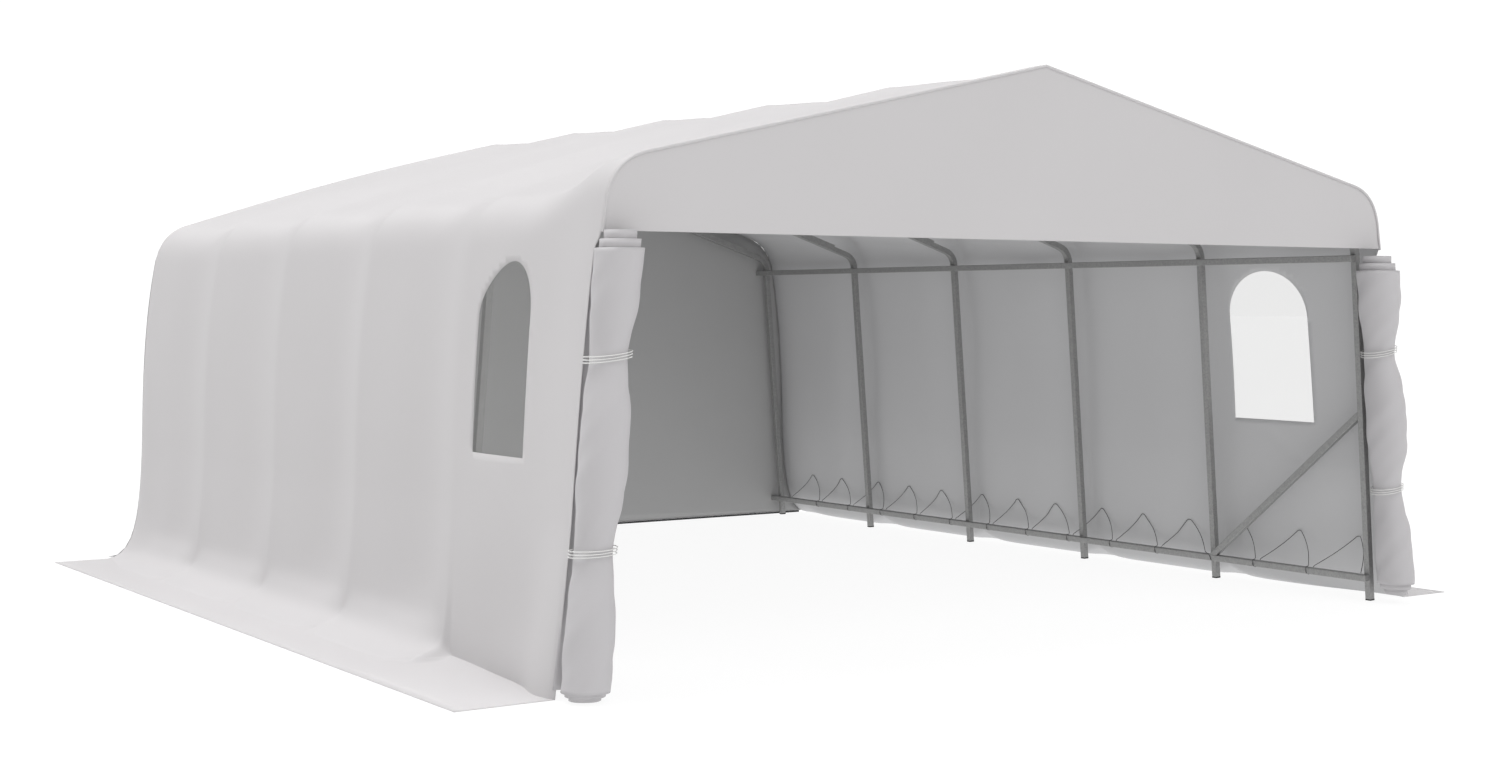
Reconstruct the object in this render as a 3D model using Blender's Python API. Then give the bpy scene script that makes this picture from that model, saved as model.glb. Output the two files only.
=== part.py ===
"""Portable double car shelter: a steel tube frame of six arches under a fabric cover.

Units are metres, +Z is up and the open front faces -Y. The origin is on the ground at the
middle of the shelter's length and width. Right is +X. What both sides share is made once
for each side, with side = -1 for the left and +1 for the right.
"""

import math

import bmesh
import bpy
import numpy as np
from mathutils import Vector

# Arches
BAY = 1.2192
BAYS = 5
ARCHES = BAYS + 1
FRAME_LENGTH = BAY * BAYS
TUBE = 0.038
FOOT_HALF_SPREAD = 2.665
LEG_LEAN = 0.083
EAVE_BEND_RADIUS = 0.12
EAVE_BEND_STEPS = 6
RAFTER_DEPTH = 0.050
RAFTER_WIDTH = 0.044
RAFTER_PITCH = 0.3281
RAFTER_SPLICE_X = 2.28
GAP = 0.0003

# Rails and braces
SIDE_RAIL_Z = 2.023
BASE_RAIL_Z = 0.14
BRACE_TOP_Z = 1.10
BRACE_FOOT_Y = 1.19

# Cover, with its outline at the front and behind the first arches
COVER_THICKNESS = 0.004
RIDGE_Z = 2.975
FRONT_EDGE_OVERHANG = 0.08
WALL_EDGE_OVERHANG = 0.03
WALL_EDGE_TURN_Z = 1.99
REAR_CLEARANCE = 0.07
FRONT_ROOF_PITCH = 0.225
REAR_ROOF_PITCH = 0.281
REAR_ROOF_CROWN = 0.030
FRONT_SHOULDER = 0.18
REAR_SHOULDER = 0.20
KNEE_Z = 0.75
FRONT_KNEE_X = 2.742
REAR_KNEE_X = 2.711
FRONT_WALL_LEAN = 0.078
REAR_WALL_LEAN = 0.024
FRONT_WALL_BOW = 0.0133
REAR_WALL_BOW = 0.035
FRONT_FLARE_CONTROL = (2.800, 0.020)
REAR_FLARE_CONTROL = (2.720, 0.020)
FRONT_FLARE_FOOT_X = 2.815
REAR_FLARE_FOOT_X = 2.960
FLAP_EDGE_X = 3.315
EAVE_SEAM_Z = 1.98
FLAP_SEAM_PART = 0.65
COVER_SAG = 0.030
SADDLE = 0.050
SAG_LOW_Z = 0.02
SAG_FADE_HEIGHT = 0.60
SEAM_GAP = 0.0007
BAY_STEPS = 3
ROOF_STEPS = 5
SHOULDER_STEPS = 5
WALL_STEPS = 5
FLARE_STEPS = 3
UPPER_BLEND_LENGTH = 0.75
LOWER_BLEND_START = 0.75
LOWER_BLEND_LENGTH = 0.60
CORNER_ROUNDS = 8

# Front valance and rear wall
VALANCE_BOTTOM_Z = 2.076
HEM_HEIGHT = 0.015

# Windows, measured from the front arch
WINDOW_CENTRE = {-1: 0.78, 1: 0.79}
WINDOW_WIDTH = {-1: 0.50, 1: 0.64}
WINDOW_SILL_Z = 1.035
WINDOW_SPRING_Z = 1.67
WINDOW_TOP_Z = 1.96
WINDOW_ARCH_STEPS = 14
WINDOW_CUT_X = (2.4, 2.9)
FILM_THICKNESS = 0.002
FILM_LAP = 0.020
FILM_CLEARANCE = 0.0006

# Rolled front doors and their ties
ROLL_RADIUS = 0.110
ROLL_WAIST_RADIUS = 0.092
ROLL_FOOT_X = {-1: 2.725, 1: 2.728}
ROLL_LEAN = {-1: 0.0885, 1: 0.0970}
ROLL_SEAT = {-1: 0.0056, 1: 0.0031}
ROLL_BOTTOM_Z = {-1: 0.075, 1: 0.115}
ROLL_TOP_Z = {-1: 1.990, 1: 1.947}
ROLL_STEP = 0.034
ROLL_LAYER = 0.020
ROLL_SIDES = 16
ROLL_RINGS = 14
TIE_Z = {-1: (0.658, 1.518), 1: (0.672, 1.478)}
TIE_DIAMETER = 0.005
TIE_TURNS = 3
TIE_PITCH = 0.011
TIE_FLAT = 0.025
TIE_WAIST_LENGTH = 0.30
TIE_CLEARANCE = 0.001

# Lacing between the base rails and the cover
LACING_DIAMETER = 0.005
LACING_LOOPS = 14
LACING_FIRST = 0.212
LACING_PITCH = 0.424
LACING_PEAK_Z = 0.352
LACING_SPREAD = 0.195
LACING_BULGE = 0.028
LACING_LEG_CLEARANCE = 0.045
LACING_WRAP_LEAD = 0.055
EYELET_CLEARANCE = 0.0018
LACING_PARTS = (0.30, 0.65, 1.0)
WRAP_PARTS = (0.20, 0.45, 0.30)

# Lengths that follow from those above
LEG_HALF = TUBE / 2
LEG_ANGLE = math.atan(LEG_LEAN)
REAR_INNER = FRAME_LENGTH + REAR_CLEARANCE
REAR_OUTER = REAR_INNER + COVER_THICKNESS
ROLL_AXIS = {side: LEG_HALF + GAP + ROLL_RADIUS - ROLL_SEAT[side] for side in (-1, 1)}
FRONT_ARCH_Y = (ROLL_AXIS[1] + ROLL_RADIUS - REAR_OUTER) / 2
SIDE_NAME = {-1: "left", 1: "right"}
SMOOTH_ANGLE = math.radians(35)


def mix(rear, front, weight):
    """Blend a rear value into a front value."""
    return rear + (front - rear) * weight


def ease(value):
    """Smooth step of a value, held between 0 and 1."""
    value = min(max(value, 0.0), 1.0)
    return value * value * (3 - 2 * value)


def leg_x(z):
    """Middle line of a leaning leg."""
    return FOOT_HALF_SPREAD - LEG_LEAN * z


def arch_y(number):
    """Plane of an arch, counted from 1 at the front."""
    return FRONT_ARCH_Y + (number - 1) * BAY


def clear_scene():
    """Remove what the scene holds."""
    for item in list(bpy.data.objects):
        bpy.data.objects.remove(item, do_unlink=True)


def material(name, colour, roughness, metallic=0.0):
    """Principled material of one piece."""
    made = bpy.data.materials.new(name)
    made.use_nodes = True
    shader = made.node_tree.nodes["Principled BSDF"]
    shader.inputs["Base Color"].default_value = (*colour, 1.0)
    shader.inputs["Roughness"].default_value = roughness
    shader.inputs["Metallic"].default_value = metallic
    return made


STEEL = ((0.17, 0.17, 0.17), 0.45, 0.7)
ROOF_CLOTH = ((0.78, 0.77, 0.77), 0.6)
WALL_CLOTH = ((0.62, 0.61, 0.62), 0.6)
FILM = ((0.70, 0.72, 0.72), 0.15)
HEM_CLOTH = ((0.05, 0.05, 0.05), 0.6)
CORD = ((0.80, 0.80, 0.80), 0.7)
LACE = ((0.12, 0.12, 0.12), 0.7)


def add_object(name, data, look):
    """Link a named object with a material of its own."""
    made = bpy.data.objects.new(name, data)
    bpy.context.collection.objects.link(made)
    data.materials.append(material(name, *look))
    return made


def mesh_object(name, points, faces, look, smooth=False):
    """One closed mesh with its faces turned outwards."""
    data = bpy.data.meshes.new(name)
    data.from_pydata([tuple(point) for point in points], [], faces)
    work = bmesh.new()
    work.from_mesh(data)
    bmesh.ops.recalc_face_normals(work, faces=work.faces)
    if work.calc_volume(signed=True) < 0:
        bmesh.ops.reverse_faces(work, faces=work.faces)
    work.to_mesh(data)
    work.free()
    if smooth:
        data.shade_smooth()
        data.set_sharp_from_angle(angle=SMOOTH_ANGLE)
    return add_object(name, data, look)


def extrude_outline(name, outline, y_low, y_high, look):
    """Flat plate or bar: an outline of (x, z) points between two planes across Y."""
    count = len(outline)
    points = [(x, y, z) for y in (y_low, y_high) for x, z in outline]
    faces = [list(range(count)), list(range(count, 2 * count))]
    faces += [[i, (i + 1) % count, (i + 1) % count + count, i + count] for i in range(count)]
    return mesh_object(name, points, faces, look)


def arc_points(corner, before, after, radius, steps):
    """Arc that rounds a corner between the directions to the points before and after it."""
    corner = np.array(corner)
    back = np.array(before) - corner
    ahead = np.array(after) - corner
    back = back / np.linalg.norm(back)
    ahead = ahead / np.linalg.norm(ahead)
    half = math.acos(float(back @ ahead)) / 2
    middle = (back + ahead) / np.linalg.norm(back + ahead)
    centre = corner + middle * radius / math.sin(half)
    start = corner + back * radius / math.tan(half) - centre
    end = corner + ahead * radius / math.tan(half) - centre
    turn = math.pi - 2 * half
    found = []
    for step in range(steps + 1):
        part = step / steps
        mixed = (start * math.sin((1 - part) * turn) + end * math.sin(part * turn)) / math.sin(turn)
        found.append(tuple(centre + mixed))
    return found


def offset_line(line, distance):
    """Line moved sideways in its plane, with mitred corners."""
    line = [Vector(point) for point in line]
    found = []
    for index, point in enumerate(line):
        ways = []
        if index > 0:
            ways.append((point - line[index - 1]).normalized())
        if index < len(line) - 1:
            ways.append((line[index + 1] - point).normalized())
        sides = [Vector((-way.y, way.x)) for way in ways]
        normal = sum(sides, Vector((0.0, 0.0))).normalized()
        found.append(tuple(point + normal * distance / normal.dot(sides[0])))
    return found


def rafter_underside(x):
    """Lower edge of a rafter on either side of the ridge."""
    top = RIDGE_Z - COVER_THICKNESS * math.hypot(1, FRONT_ROOF_PITCH) - GAP
    peak = top - RAFTER_DEPTH * math.hypot(1, RAFTER_PITCH)
    return peak - RAFTER_PITCH * abs(x)


def splice_point(height):
    """Point on the face where leg and rafter meet, at a height above the underside."""
    slope = math.hypot(1, RAFTER_PITCH)
    x = RAFTER_SPLICE_X + height * RAFTER_PITCH / slope
    return (x, rafter_underside(RAFTER_SPLICE_X) + height / slope)


def leg_line():
    """Middle line of a leg from below the ground to its splice, on the right side."""
    rise = TUBE / 2 * math.hypot(1, RAFTER_PITCH)
    foot = (leg_x(-TUBE), -TUBE)
    corner_z = (rafter_underside(0) + rise - RAFTER_PITCH * FOOT_HALF_SPREAD) / (1 - RAFTER_PITCH * LEG_LEAN)
    corner = (leg_x(corner_z), corner_z)
    splice = splice_point(TUBE / 2)
    return [foot] + arc_points(corner, foot, splice, EAVE_BEND_RADIUS, EAVE_BEND_STEPS) + [splice]


def make_leg(side, number):
    """Leaning square leg with its foot plug and the bend at the eave."""
    line = leg_line()
    outer = offset_line(line, -TUBE / 2)
    inner = offset_line(line, TUBE / 2)
    foot_outer = (FOOT_HALF_SPREAD + TUBE / 2 / math.cos(LEG_ANGLE), 0.0)
    foot_inner = (FOOT_HALF_SPREAD - TUBE / 2 / math.cos(LEG_ANGLE), 0.0)
    outline = [foot_outer] + outer[1:] + inner[:0:-1] + [foot_inner]
    outline = [(side * x, z) for x, z in outline]
    y = arch_y(number)
    name = f"leg_{SIDE_NAME[side]}_{number}"
    extrude_outline(name, outline, y - TUBE / 2, y + TUBE / 2, STEEL)


def make_roof_bow(number):
    """Both rafters of an arch, joined at the peak."""
    gap_x = GAP / math.hypot(1, RAFTER_PITCH)
    gap_z = gap_x * RAFTER_PITCH
    low_x, low_z = splice_point(0)
    high_x, high_z = splice_point(RAFTER_DEPTH)
    low = (low_x - gap_x, low_z + gap_z)
    high = (high_x - gap_x, high_z + gap_z)
    peak_low = (0.0, rafter_underside(0))
    peak_high = (0.0, rafter_underside(0) + RAFTER_DEPTH * math.hypot(1, RAFTER_PITCH))
    outline = [low, high, peak_high, (-high[0], high[1]), (-low[0], low[1]), peak_low]
    y = arch_y(number)
    extrude_outline(f"roof_bow_{number}", outline, y - RAFTER_WIDTH / 2, y + RAFTER_WIDTH / 2, STEEL)


def rail_corners(z):
    """Section of a rail on the inner face of the legs, tilted as they lean."""
    along = np.array([-math.sin(LEG_ANGLE), math.cos(LEG_ANGLE)])
    inward = np.array([-math.cos(LEG_ANGLE), -math.sin(LEG_ANGLE)])
    face = np.array([leg_x(z), z]) + inward * (TUBE / 2 + GAP)
    corners = []
    for depth, height in ((0, -0.5), (0, 0.5), (1, 0.5), (1, -0.5)):
        corners.append(tuple(face + inward * depth * TUBE + along * height * TUBE))
    return corners


def make_rails():
    """Upper and lower rails along both sides, and the purlin under the ridge."""
    front = FRONT_ARCH_Y - TUBE / 2
    back = FRONT_ARCH_Y + REAR_INNER - GAP
    for side in (-1, 1):
        for name, z in (("side_rail", SIDE_RAIL_Z), ("base_rail", BASE_RAIL_Z)):
            outline = [(side * x, height) for x, height in rail_corners(z)]
            extrude_outline(f"{name}_{SIDE_NAME[side]}", outline, front, back, STEEL)
    top = rafter_underside(TUBE / 2) - GAP
    half = TUBE / 2
    outline = [(-half, top - TUBE), (half, top - TUBE), (half, top), (-half, top)]
    extrude_outline("ridge_purlin", outline, front, back, STEEL)


def make_brace(side):
    """Wind brace of the front bay, from the base rail beside the second leg to the front leg."""
    corners = rail_corners(BASE_RAIL_Z)
    rail_top = Vector((corners[1][0], 0, corners[1][1]))
    rail_up = Vector((math.sin(-LEG_ANGLE), 0, math.cos(LEG_ANGLE)))
    foot_x = (corners[1][0] + corners[2][0]) / 2
    foot = Vector((foot_x, FRONT_ARCH_Y + BRACE_FOOT_Y, corners[1][1]))
    head = Vector((leg_x(BRACE_TOP_Z), FRONT_ARCH_Y + TUBE / 2 + GAP, BRACE_TOP_Z))
    way = (head - foot).normalized()
    across = Vector((math.cos(LEG_ANGLE), 0, math.sin(LEG_ANGLE)))
    across = (across - way * across.dot(way)).normalized()
    upward = way.cross(across)
    ends = []
    for point, normal in ((rail_top + rail_up * GAP, rail_up), (head, Vector((0, 1, 0)))):
        for a, b in ((-1, -1), (1, -1), (1, 1), (-1, 1)):
            edge = foot + across * a * TUBE / 2 + upward * b * TUBE / 2
            reach = (point - edge).dot(normal) / way.dot(normal)
            ends.append(edge + way * reach)
    points = [(side * point.x, point.y, point.z) for point in ends]
    faces = [[0, 1, 2, 3], [4, 5, 6, 7]]
    faces += [[i, (i + 1) % 4, (i + 1) % 4 + 4, i + 4] for i in range(4)]
    mesh_object(f"brace_{SIDE_NAME[side]}", points, faces, STEEL)


def bezier(start, control, end, part):
    """Point of a quadratic curve."""
    start, control, end = np.array(start), np.array(control), np.array(end)
    return (1 - part) ** 2 * start + 2 * part * (1 - part) * control + part**2 * end


def cover_shape(along):
    """Sizes of the cover's outline at a distance behind the front arch."""
    upper = 1 - ease(along / UPPER_BLEND_LENGTH)
    lower = 1 - ease((along - LOWER_BLEND_START) / LOWER_BLEND_LENGTH)
    return {
        "pitch": mix(REAR_ROOF_PITCH, FRONT_ROOF_PITCH, upper),
        "crown": mix(REAR_ROOF_CROWN, 0.0, upper),
        "shoulder": mix(REAR_SHOULDER, FRONT_SHOULDER, upper),
        "knee": mix(REAR_KNEE_X, FRONT_KNEE_X, lower),
        "lean": mix(REAR_WALL_LEAN, FRONT_WALL_LEAN, lower),
        "bow": mix(REAR_WALL_BOW, FRONT_WALL_BOW, lower),
        "control": [mix(r, f, lower) for r, f in zip(REAR_FLARE_CONTROL, FRONT_FLARE_CONTROL)],
        "foot": mix(REAR_FLARE_FOOT_X, FRONT_FLARE_FOOT_X, lower),
    }


def wall_x(shape, z):
    """Outer face of the cover's wall above the knee."""
    rise = z - KNEE_Z
    return shape["knee"] - shape["lean"] * rise - shape["bow"] * rise**3


def sag(along):
    """How far the cloth draws in between two arches."""
    if along < 0 or along > FRAME_LENGTH:
        return 0.0
    part = (along % BAY - SADDLE / 2) / (BAY - SADDLE)
    return COVER_SAG * math.sin(math.pi * min(max(part, 0.0), 1.0)) ** 2


def roof_outline(along):
    """Outer face of the cover from the ridge to the eave seam."""
    shape = cover_shape(along)
    corner_z = RIDGE_Z - shape["pitch"] * FOOT_HALF_SPREAD
    for _ in range(CORNER_ROUNDS):
        corner_x = wall_x(shape, corner_z)
        corner_z = RIDGE_Z - shape["pitch"] * corner_x
    wall_z = corner_z - shape["shoulder"]
    roof_x = corner_x - shape["shoulder"]
    points = []
    for step in range(ROOF_STEPS):
        part = step / ROOF_STEPS
        x = roof_x * part
        crown = shape["crown"] * math.sin(math.pi * part)
        points.append((x, RIDGE_Z - shape["pitch"] * x + crown))
    start = (roof_x, RIDGE_Z - shape["pitch"] * roof_x)
    end = (wall_x(shape, wall_z), wall_z)
    for step in range(SHOULDER_STEPS + 1):
        points.append(tuple(bezier(start, (corner_x, corner_z), end, step / SHOULDER_STEPS)))
    for z in ((wall_z + EAVE_SEAM_Z) / 2, EAVE_SEAM_Z):
        points.append((wall_x(shape, z), z))
    return points


def wall_outline(along):
    """Outer face of the cover from the eave seam to the seam above the flap."""
    shape = cover_shape(along)
    heights = [EAVE_SEAM_Z + (KNEE_Z - EAVE_SEAM_Z) * step / WALL_STEPS for step in range(WALL_STEPS)]
    points = [(wall_x(shape, z), z) for z in heights]
    start = (shape["knee"], KNEE_Z)
    end = (shape["foot"], COVER_THICKNESS)
    for step in range(FLARE_STEPS + 1):
        points.append(tuple(bezier(start, shape["control"], end, FLAP_SEAM_PART * step / FLARE_STEPS)))
    return points


def flap_outline(along):
    """Upper face of the cover from the lower seam out to the edge on the ground."""
    shape = cover_shape(along)
    start = (shape["knee"], KNEE_Z)
    end = (shape["foot"], COVER_THICKNESS)
    points = []
    for step in range(FLARE_STEPS + 1):
        part = FLAP_SEAM_PART + (1 - FLAP_SEAM_PART) * step / FLARE_STEPS
        points.append(tuple(bezier(start, shape["control"], end, part)))
    points.append((FLAP_EDGE_X, COVER_THICKNESS))
    return points


def outline_normals(points):
    """Unit normals of an outline, pointing out of the shelter."""
    ways = np.gradient(points, axis=0)
    ways /= np.linalg.norm(ways, axis=1)[:, None]
    normals = np.stack([-ways[:, 1], ways[:, 0]], axis=1)
    normals[0] = (0.0, 1 / normals[0, 1])
    normals[-2:] = (0.0, 1.0)
    return normals


def stations():
    """Distances behind the front arch where the cover's outline is taken."""
    found = [-FRONT_EDGE_OVERHANG]
    for bay in range(BAYS):
        start = bay * BAY + SADDLE / 2
        found += [start + (BAY - SADDLE) * step / BAY_STEPS for step in range(BAY_STEPS + 1)]
    return found + [FRAME_LENGTH + SADDLE / 2, REAR_INNER - GAP]


def panel_rows(kind, along):
    """Outer points and outward normals of a panel's outline at one station."""
    parts = {"roof": roof_outline(along), "wall": wall_outline(along), "flap": flap_outline(along)}
    whole = np.array(parts["roof"] + parts["wall"][1:] + parts["flap"][1:])
    normals = outline_normals(whole)
    fade = np.array([ease((z - SAG_LOW_Z) / SAG_FADE_HEIGHT) for z in whole[:, 1]])
    whole = whole - normals * (sag(along) * fade)[:, None]
    normals = outline_normals(whole)
    whole[0, 0] = GAP / 2
    first = {"roof": 0, "wall": len(parts["roof"]) - 1}
    first["flap"] = first["wall"] + len(parts["wall"]) - 1
    chosen = slice(first[kind], first[kind] + len(parts[kind]))
    return whole[chosen], normals[chosen]


def front_edge(z):
    """Distance of the cover's front edge from the front arch at a height."""
    part = ease((z - WALL_EDGE_TURN_Z) / (VALANCE_BOTTOM_Z - WALL_EDGE_TURN_Z))
    return -mix(WALL_EDGE_OVERHANG, FRONT_EDGE_OVERHANG, part)


def shell(kind, side, outer_depth, thickness):
    """Points and faces of a cloth panel between two depths below its outer face."""
    places = stations()
    outer, inner = [], []
    for index, along in enumerate(places):
        points, normals = panel_rows(kind, along)
        ends = (0, len(points) - 1)
        for place, (point, normal) in enumerate(zip(points, normals)):
            y = along if index > 0 else front_edge(point[1])
            way = points[min(place + 1, ends[1])] - points[max(place - 1, 0)]
            way = way / np.linalg.norm(way)
            pull = 0.0
            if place == 0 and kind != "roof":
                pull = SEAM_GAP / 2
            if place == ends[1] and kind != "flap":
                pull = -SEAM_GAP / 2
            top = point + way * pull - normal * outer_depth
            low = top - normal * thickness
            if kind == "flap":
                low = (low[0], max(low[1], 0.0))
            outer.append((side * top[0], FRONT_ARCH_Y + y, top[1]))
            inner.append((side * low[0], FRONT_ARCH_Y + y, low[1]))
    rows, columns = len(places), len(points)
    count = len(outer)
    faces = []
    for row in range(rows - 1):
        for column in range(columns - 1):
            a = row * columns + column
            b, c, d = a + 1, a + columns + 1, a + columns
            faces += [(a, b, c), (a, c, d)]
            faces += [(a + count, c + count, b + count), (a + count, d + count, c + count)]
    rim = [(0, column) for column in range(columns)]
    rim += [(row, columns - 1) for row in range(1, rows)]
    rim += [(rows - 1, column) for column in range(columns - 2, -1, -1)]
    rim += [(row, 0) for row in range(rows - 2, 0, -1)]
    rim = [row * columns + column for row, column in rim]
    for here, after in zip(rim, rim[1:] + rim[:1]):
        faces += [(here, here + count, after + count), (here, after + count, after)]
    return outer + inner, faces


def window_cutter(name, side, lap):
    """Arched block through the wall, wider than the window by the lap all round."""
    half = WINDOW_WIDTH[side] / 2 + lap
    rise = WINDOW_TOP_Z - WINDOW_SPRING_Z + lap
    outline = [(-half, WINDOW_SILL_Z - lap), (half, WINDOW_SILL_Z - lap)]
    for step in range(WINDOW_ARCH_STEPS + 1):
        angle = math.pi * step / WINDOW_ARCH_STEPS
        outline.append((half * math.cos(angle), WINDOW_SPRING_Z + rise * math.sin(angle)))
    middle = FRONT_ARCH_Y + WINDOW_CENTRE[side]
    count = len(outline)
    points = [(side * x, middle + y, z) for x in WINDOW_CUT_X for y, z in outline]
    faces = [list(range(count)), list(range(count, 2 * count))]
    faces += [[i, (i + 1) % count, (i + 1) % count + count, i + count] for i in range(count)]
    cutter = mesh_object(name, points, faces, FILM)
    cutter.hide_render = True
    cutter.display_type = "WIRE"
    return cutter


def boolean(target, cutter, operation):
    """Cut a piece with a guide."""
    cut = target.modifiers.new(operation.title(), "BOOLEAN")
    cut.operation = operation
    cut.object = cutter
    cut.solver = "EXACT"


def make_cover_side(side):
    """Roof, wall with its window, clear film and ground flap of one side."""
    name = SIDE_NAME[side]
    mesh_object(f"roof_cover_{name}", *shell("roof", side, 0.0, COVER_THICKNESS), ROOF_CLOTH)
    wall = mesh_object(f"wall_cover_{name}", *shell("wall", side, 0.0, COVER_THICKNESS), WALL_CLOTH)
    boolean(wall, window_cutter(f"window_opening_{name}", side, 0.0), "DIFFERENCE")
    depth = COVER_THICKNESS + FILM_CLEARANCE
    film = mesh_object(f"window_{name}", *shell("wall", side, depth, FILM_THICKNESS), FILM)
    boolean(film, window_cutter(f"window_film_outline_{name}", side, FILM_LAP), "INTERSECT")
    mesh_object(f"ground_flap_{name}", *shell("flap", side, 0.0, COVER_THICKNESS), ROOF_CLOTH)


def both_sides(right_half):
    """Closed outline from a right half that runs from the ridge down."""
    return right_half + [(-x, z) for x, z in right_half[::-1] if x > GAP]


def make_front_valance():
    """Gable panel that hangs from the front edge of the roof."""
    half = [(x, z) for x, z in roof_outline(-FRONT_EDGE_OVERHANG) if z > VALANCE_BOTTOM_Z]
    bottom_x = wall_x(cover_shape(-FRONT_EDGE_OVERHANG), VALANCE_BOTTOM_Z)
    half.append((bottom_x, VALANCE_BOTTOM_Z))
    back = FRONT_ARCH_Y - FRONT_EDGE_OVERHANG - GAP
    extrude_outline("front_valance", both_sides(half), back - COVER_THICKNESS, back, WALL_CLOTH)


def make_rear_wall():
    """Closed rear end, with a dark hem along the ground."""
    half = roof_outline(REAR_INNER) + wall_outline(REAR_INNER)[1:] + flap_outline(REAR_INNER)[1:-1]
    half = [(x, z) for x, z in half if z > HEM_HEIGHT + GAP]
    half.append((REAR_FLARE_FOOT_X - HEM_HEIGHT, HEM_HEIGHT + GAP))
    front = FRONT_ARCH_Y + REAR_INNER
    back = FRONT_ARCH_Y + REAR_OUTER
    extrude_outline("rear_wall", both_sides(half), front, back, WALL_CLOTH)
    foot = REAR_FLARE_FOOT_X
    hem = [(-foot, 0.0), (foot, 0.0), (foot - HEM_HEIGHT, HEM_HEIGHT), (HEM_HEIGHT - foot, HEM_HEIGHT)]
    extrude_outline("rear_hem", hem, front, back, HEM_CLOTH)


def roll_radius(side, z):
    """Radius of a rolled door, drawn in at its two ties."""
    squeeze = 0.0
    for tie in TIE_Z[side]:
        squeeze = max(squeeze, 1 - ease((abs(z - tie) - TIE_FLAT) / (TIE_WAIST_LENGTH / 2)))
    return mix(ROLL_RADIUS, ROLL_WAIST_RADIUS, squeeze)


def roll_centre(side, z):
    """Axis of a rolled door, seated against the outer edge of its leaning leg."""
    return (side * (ROLL_FOOT_X[side] - ROLL_LEAN[side] * z), FRONT_ARCH_Y - ROLL_AXIS[side])


def make_rolled_door(side):
    """Half of the front wall rolled up, with its inner layers standing out at both ends."""
    low, high = ROLL_BOTTOM_Z[side], ROLL_TOP_Z[side]
    profile = []
    for layer in (2, 1):
        radius = ROLL_RADIUS - layer * ROLL_LAYER
        profile += [(low - layer * ROLL_STEP, radius), (low - (layer - 1) * ROLL_STEP, radius)]
    heights = [low + (high - low) * step / ROLL_RINGS for step in range(ROLL_RINGS + 1)]
    for tie in TIE_Z[side]:
        heights = [z for z in heights if abs(z - tie) > 2 * TIE_FLAT]
        heights += [tie - TIE_FLAT, tie + TIE_FLAT]
    for z in sorted(heights):
        profile.append((z, roll_radius(side, z)))
    for layer in (1, 2):
        radius = ROLL_RADIUS - layer * ROLL_LAYER
        profile += [(high + (layer - 1) * ROLL_STEP, radius), (high + layer * ROLL_STEP, radius)]
    points = []
    for z, radius in profile:
        x, y = roll_centre(side, z)
        for place in range(ROLL_SIDES):
            angle = 2 * math.pi * place / ROLL_SIDES
            points.append((x + radius * math.cos(angle), y + radius * math.sin(angle), z))
    faces = [list(range(ROLL_SIDES))]
    for ring in range(len(profile) - 1):
        for place in range(ROLL_SIDES):
            a = ring * ROLL_SIDES + place
            b = ring * ROLL_SIDES + (place + 1) % ROLL_SIDES
            faces.append((a, b, b + ROLL_SIDES, a + ROLL_SIDES))
    last = (len(profile) - 1) * ROLL_SIDES
    faces.append([last + place for place in range(ROLL_SIDES)])
    mesh_object(f"rolled_door_{SIDE_NAME[side]}", points, faces, WALL_CLOTH, smooth=True)


def cord_object(name, route, diameter, look):
    """Round cord along a route of points."""
    data = bpy.data.curves.new(name, "CURVE")
    data.dimensions = "3D"
    data.bevel_depth = diameter / 2
    data.bevel_resolution = 0
    data.use_fill_caps = True
    spline = data.splines.new("POLY")
    spline.points.add(len(route) - 1)
    for point, place in zip(spline.points, route):
        point.co = (*place, 1.0)
    return add_object(name, data, look)


def make_tie(side, z, name):
    """Cord wound three times round a rolled door at its waist."""
    radius = ROLL_WAIST_RADIUS + TIE_DIAMETER / 2 + TIE_CLEARANCE
    route = []
    for step in range(TIE_TURNS * ROLL_SIDES + 1):
        turn = step / ROLL_SIDES
        height = z + (turn - TIE_TURNS / 2) * TIE_PITCH
        x, y = roll_centre(side, height)
        angle = 2 * math.pi * turn
        route.append((x + radius * math.cos(angle), y + radius * math.sin(angle), height))
    cord_object(f"tie_{SIDE_NAME[side]}_{name}", route, TIE_DIAMETER, CORD)


def wall_inner_x(along, z):
    """Inner face of the cover's wall at a height, straight between two stations."""
    places = stations()
    faces = []
    for place in places:
        points, normals = panel_rows("wall", place)
        inner = (points - normals * COVER_THICKNESS)[::-1]
        faces.append(np.interp(z, inner[:, 1], inner[:, 0]))
    return float(np.interp(along, places, faces))


def rail_wrap(start, end):
    """Points of a cord once round the base rail, down its outer side and back over its top."""
    reach = LACING_DIAMETER / 2 + GAP
    outer_low, outer_high, inner_high, inner_low = [np.array(c) for c in rail_corners(BASE_RAIL_Z)]
    middle = (outer_low + inner_high) / 2
    lead = min(end - start, LACING_WRAP_LEAD)
    over, under, back = (part * lead for part in WRAP_PARTS)
    places = (start, start + over, start + under, end - back, end)
    found = []
    for corner, y in zip((outer_high, outer_low, inner_low, inner_high, outer_high), places):
        grown = middle + (corner - middle) * (1 + reach / (TUBE / 2))
        found.append((grown[0], y, grown[1]))
    return found


def lacing_foot(peak_y, way):
    """Where a loop comes down to the rail, before (-1) or behind (1) its peak, clear of the legs."""
    foot = peak_y + way * LACING_SPREAD
    for number in range(ARCHES):
        leg = number * BAY
        if abs(leg - foot) < LACING_LEG_CLEARANCE:
            foot = leg - way * LACING_LEG_CLEARANCE
    return foot


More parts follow.
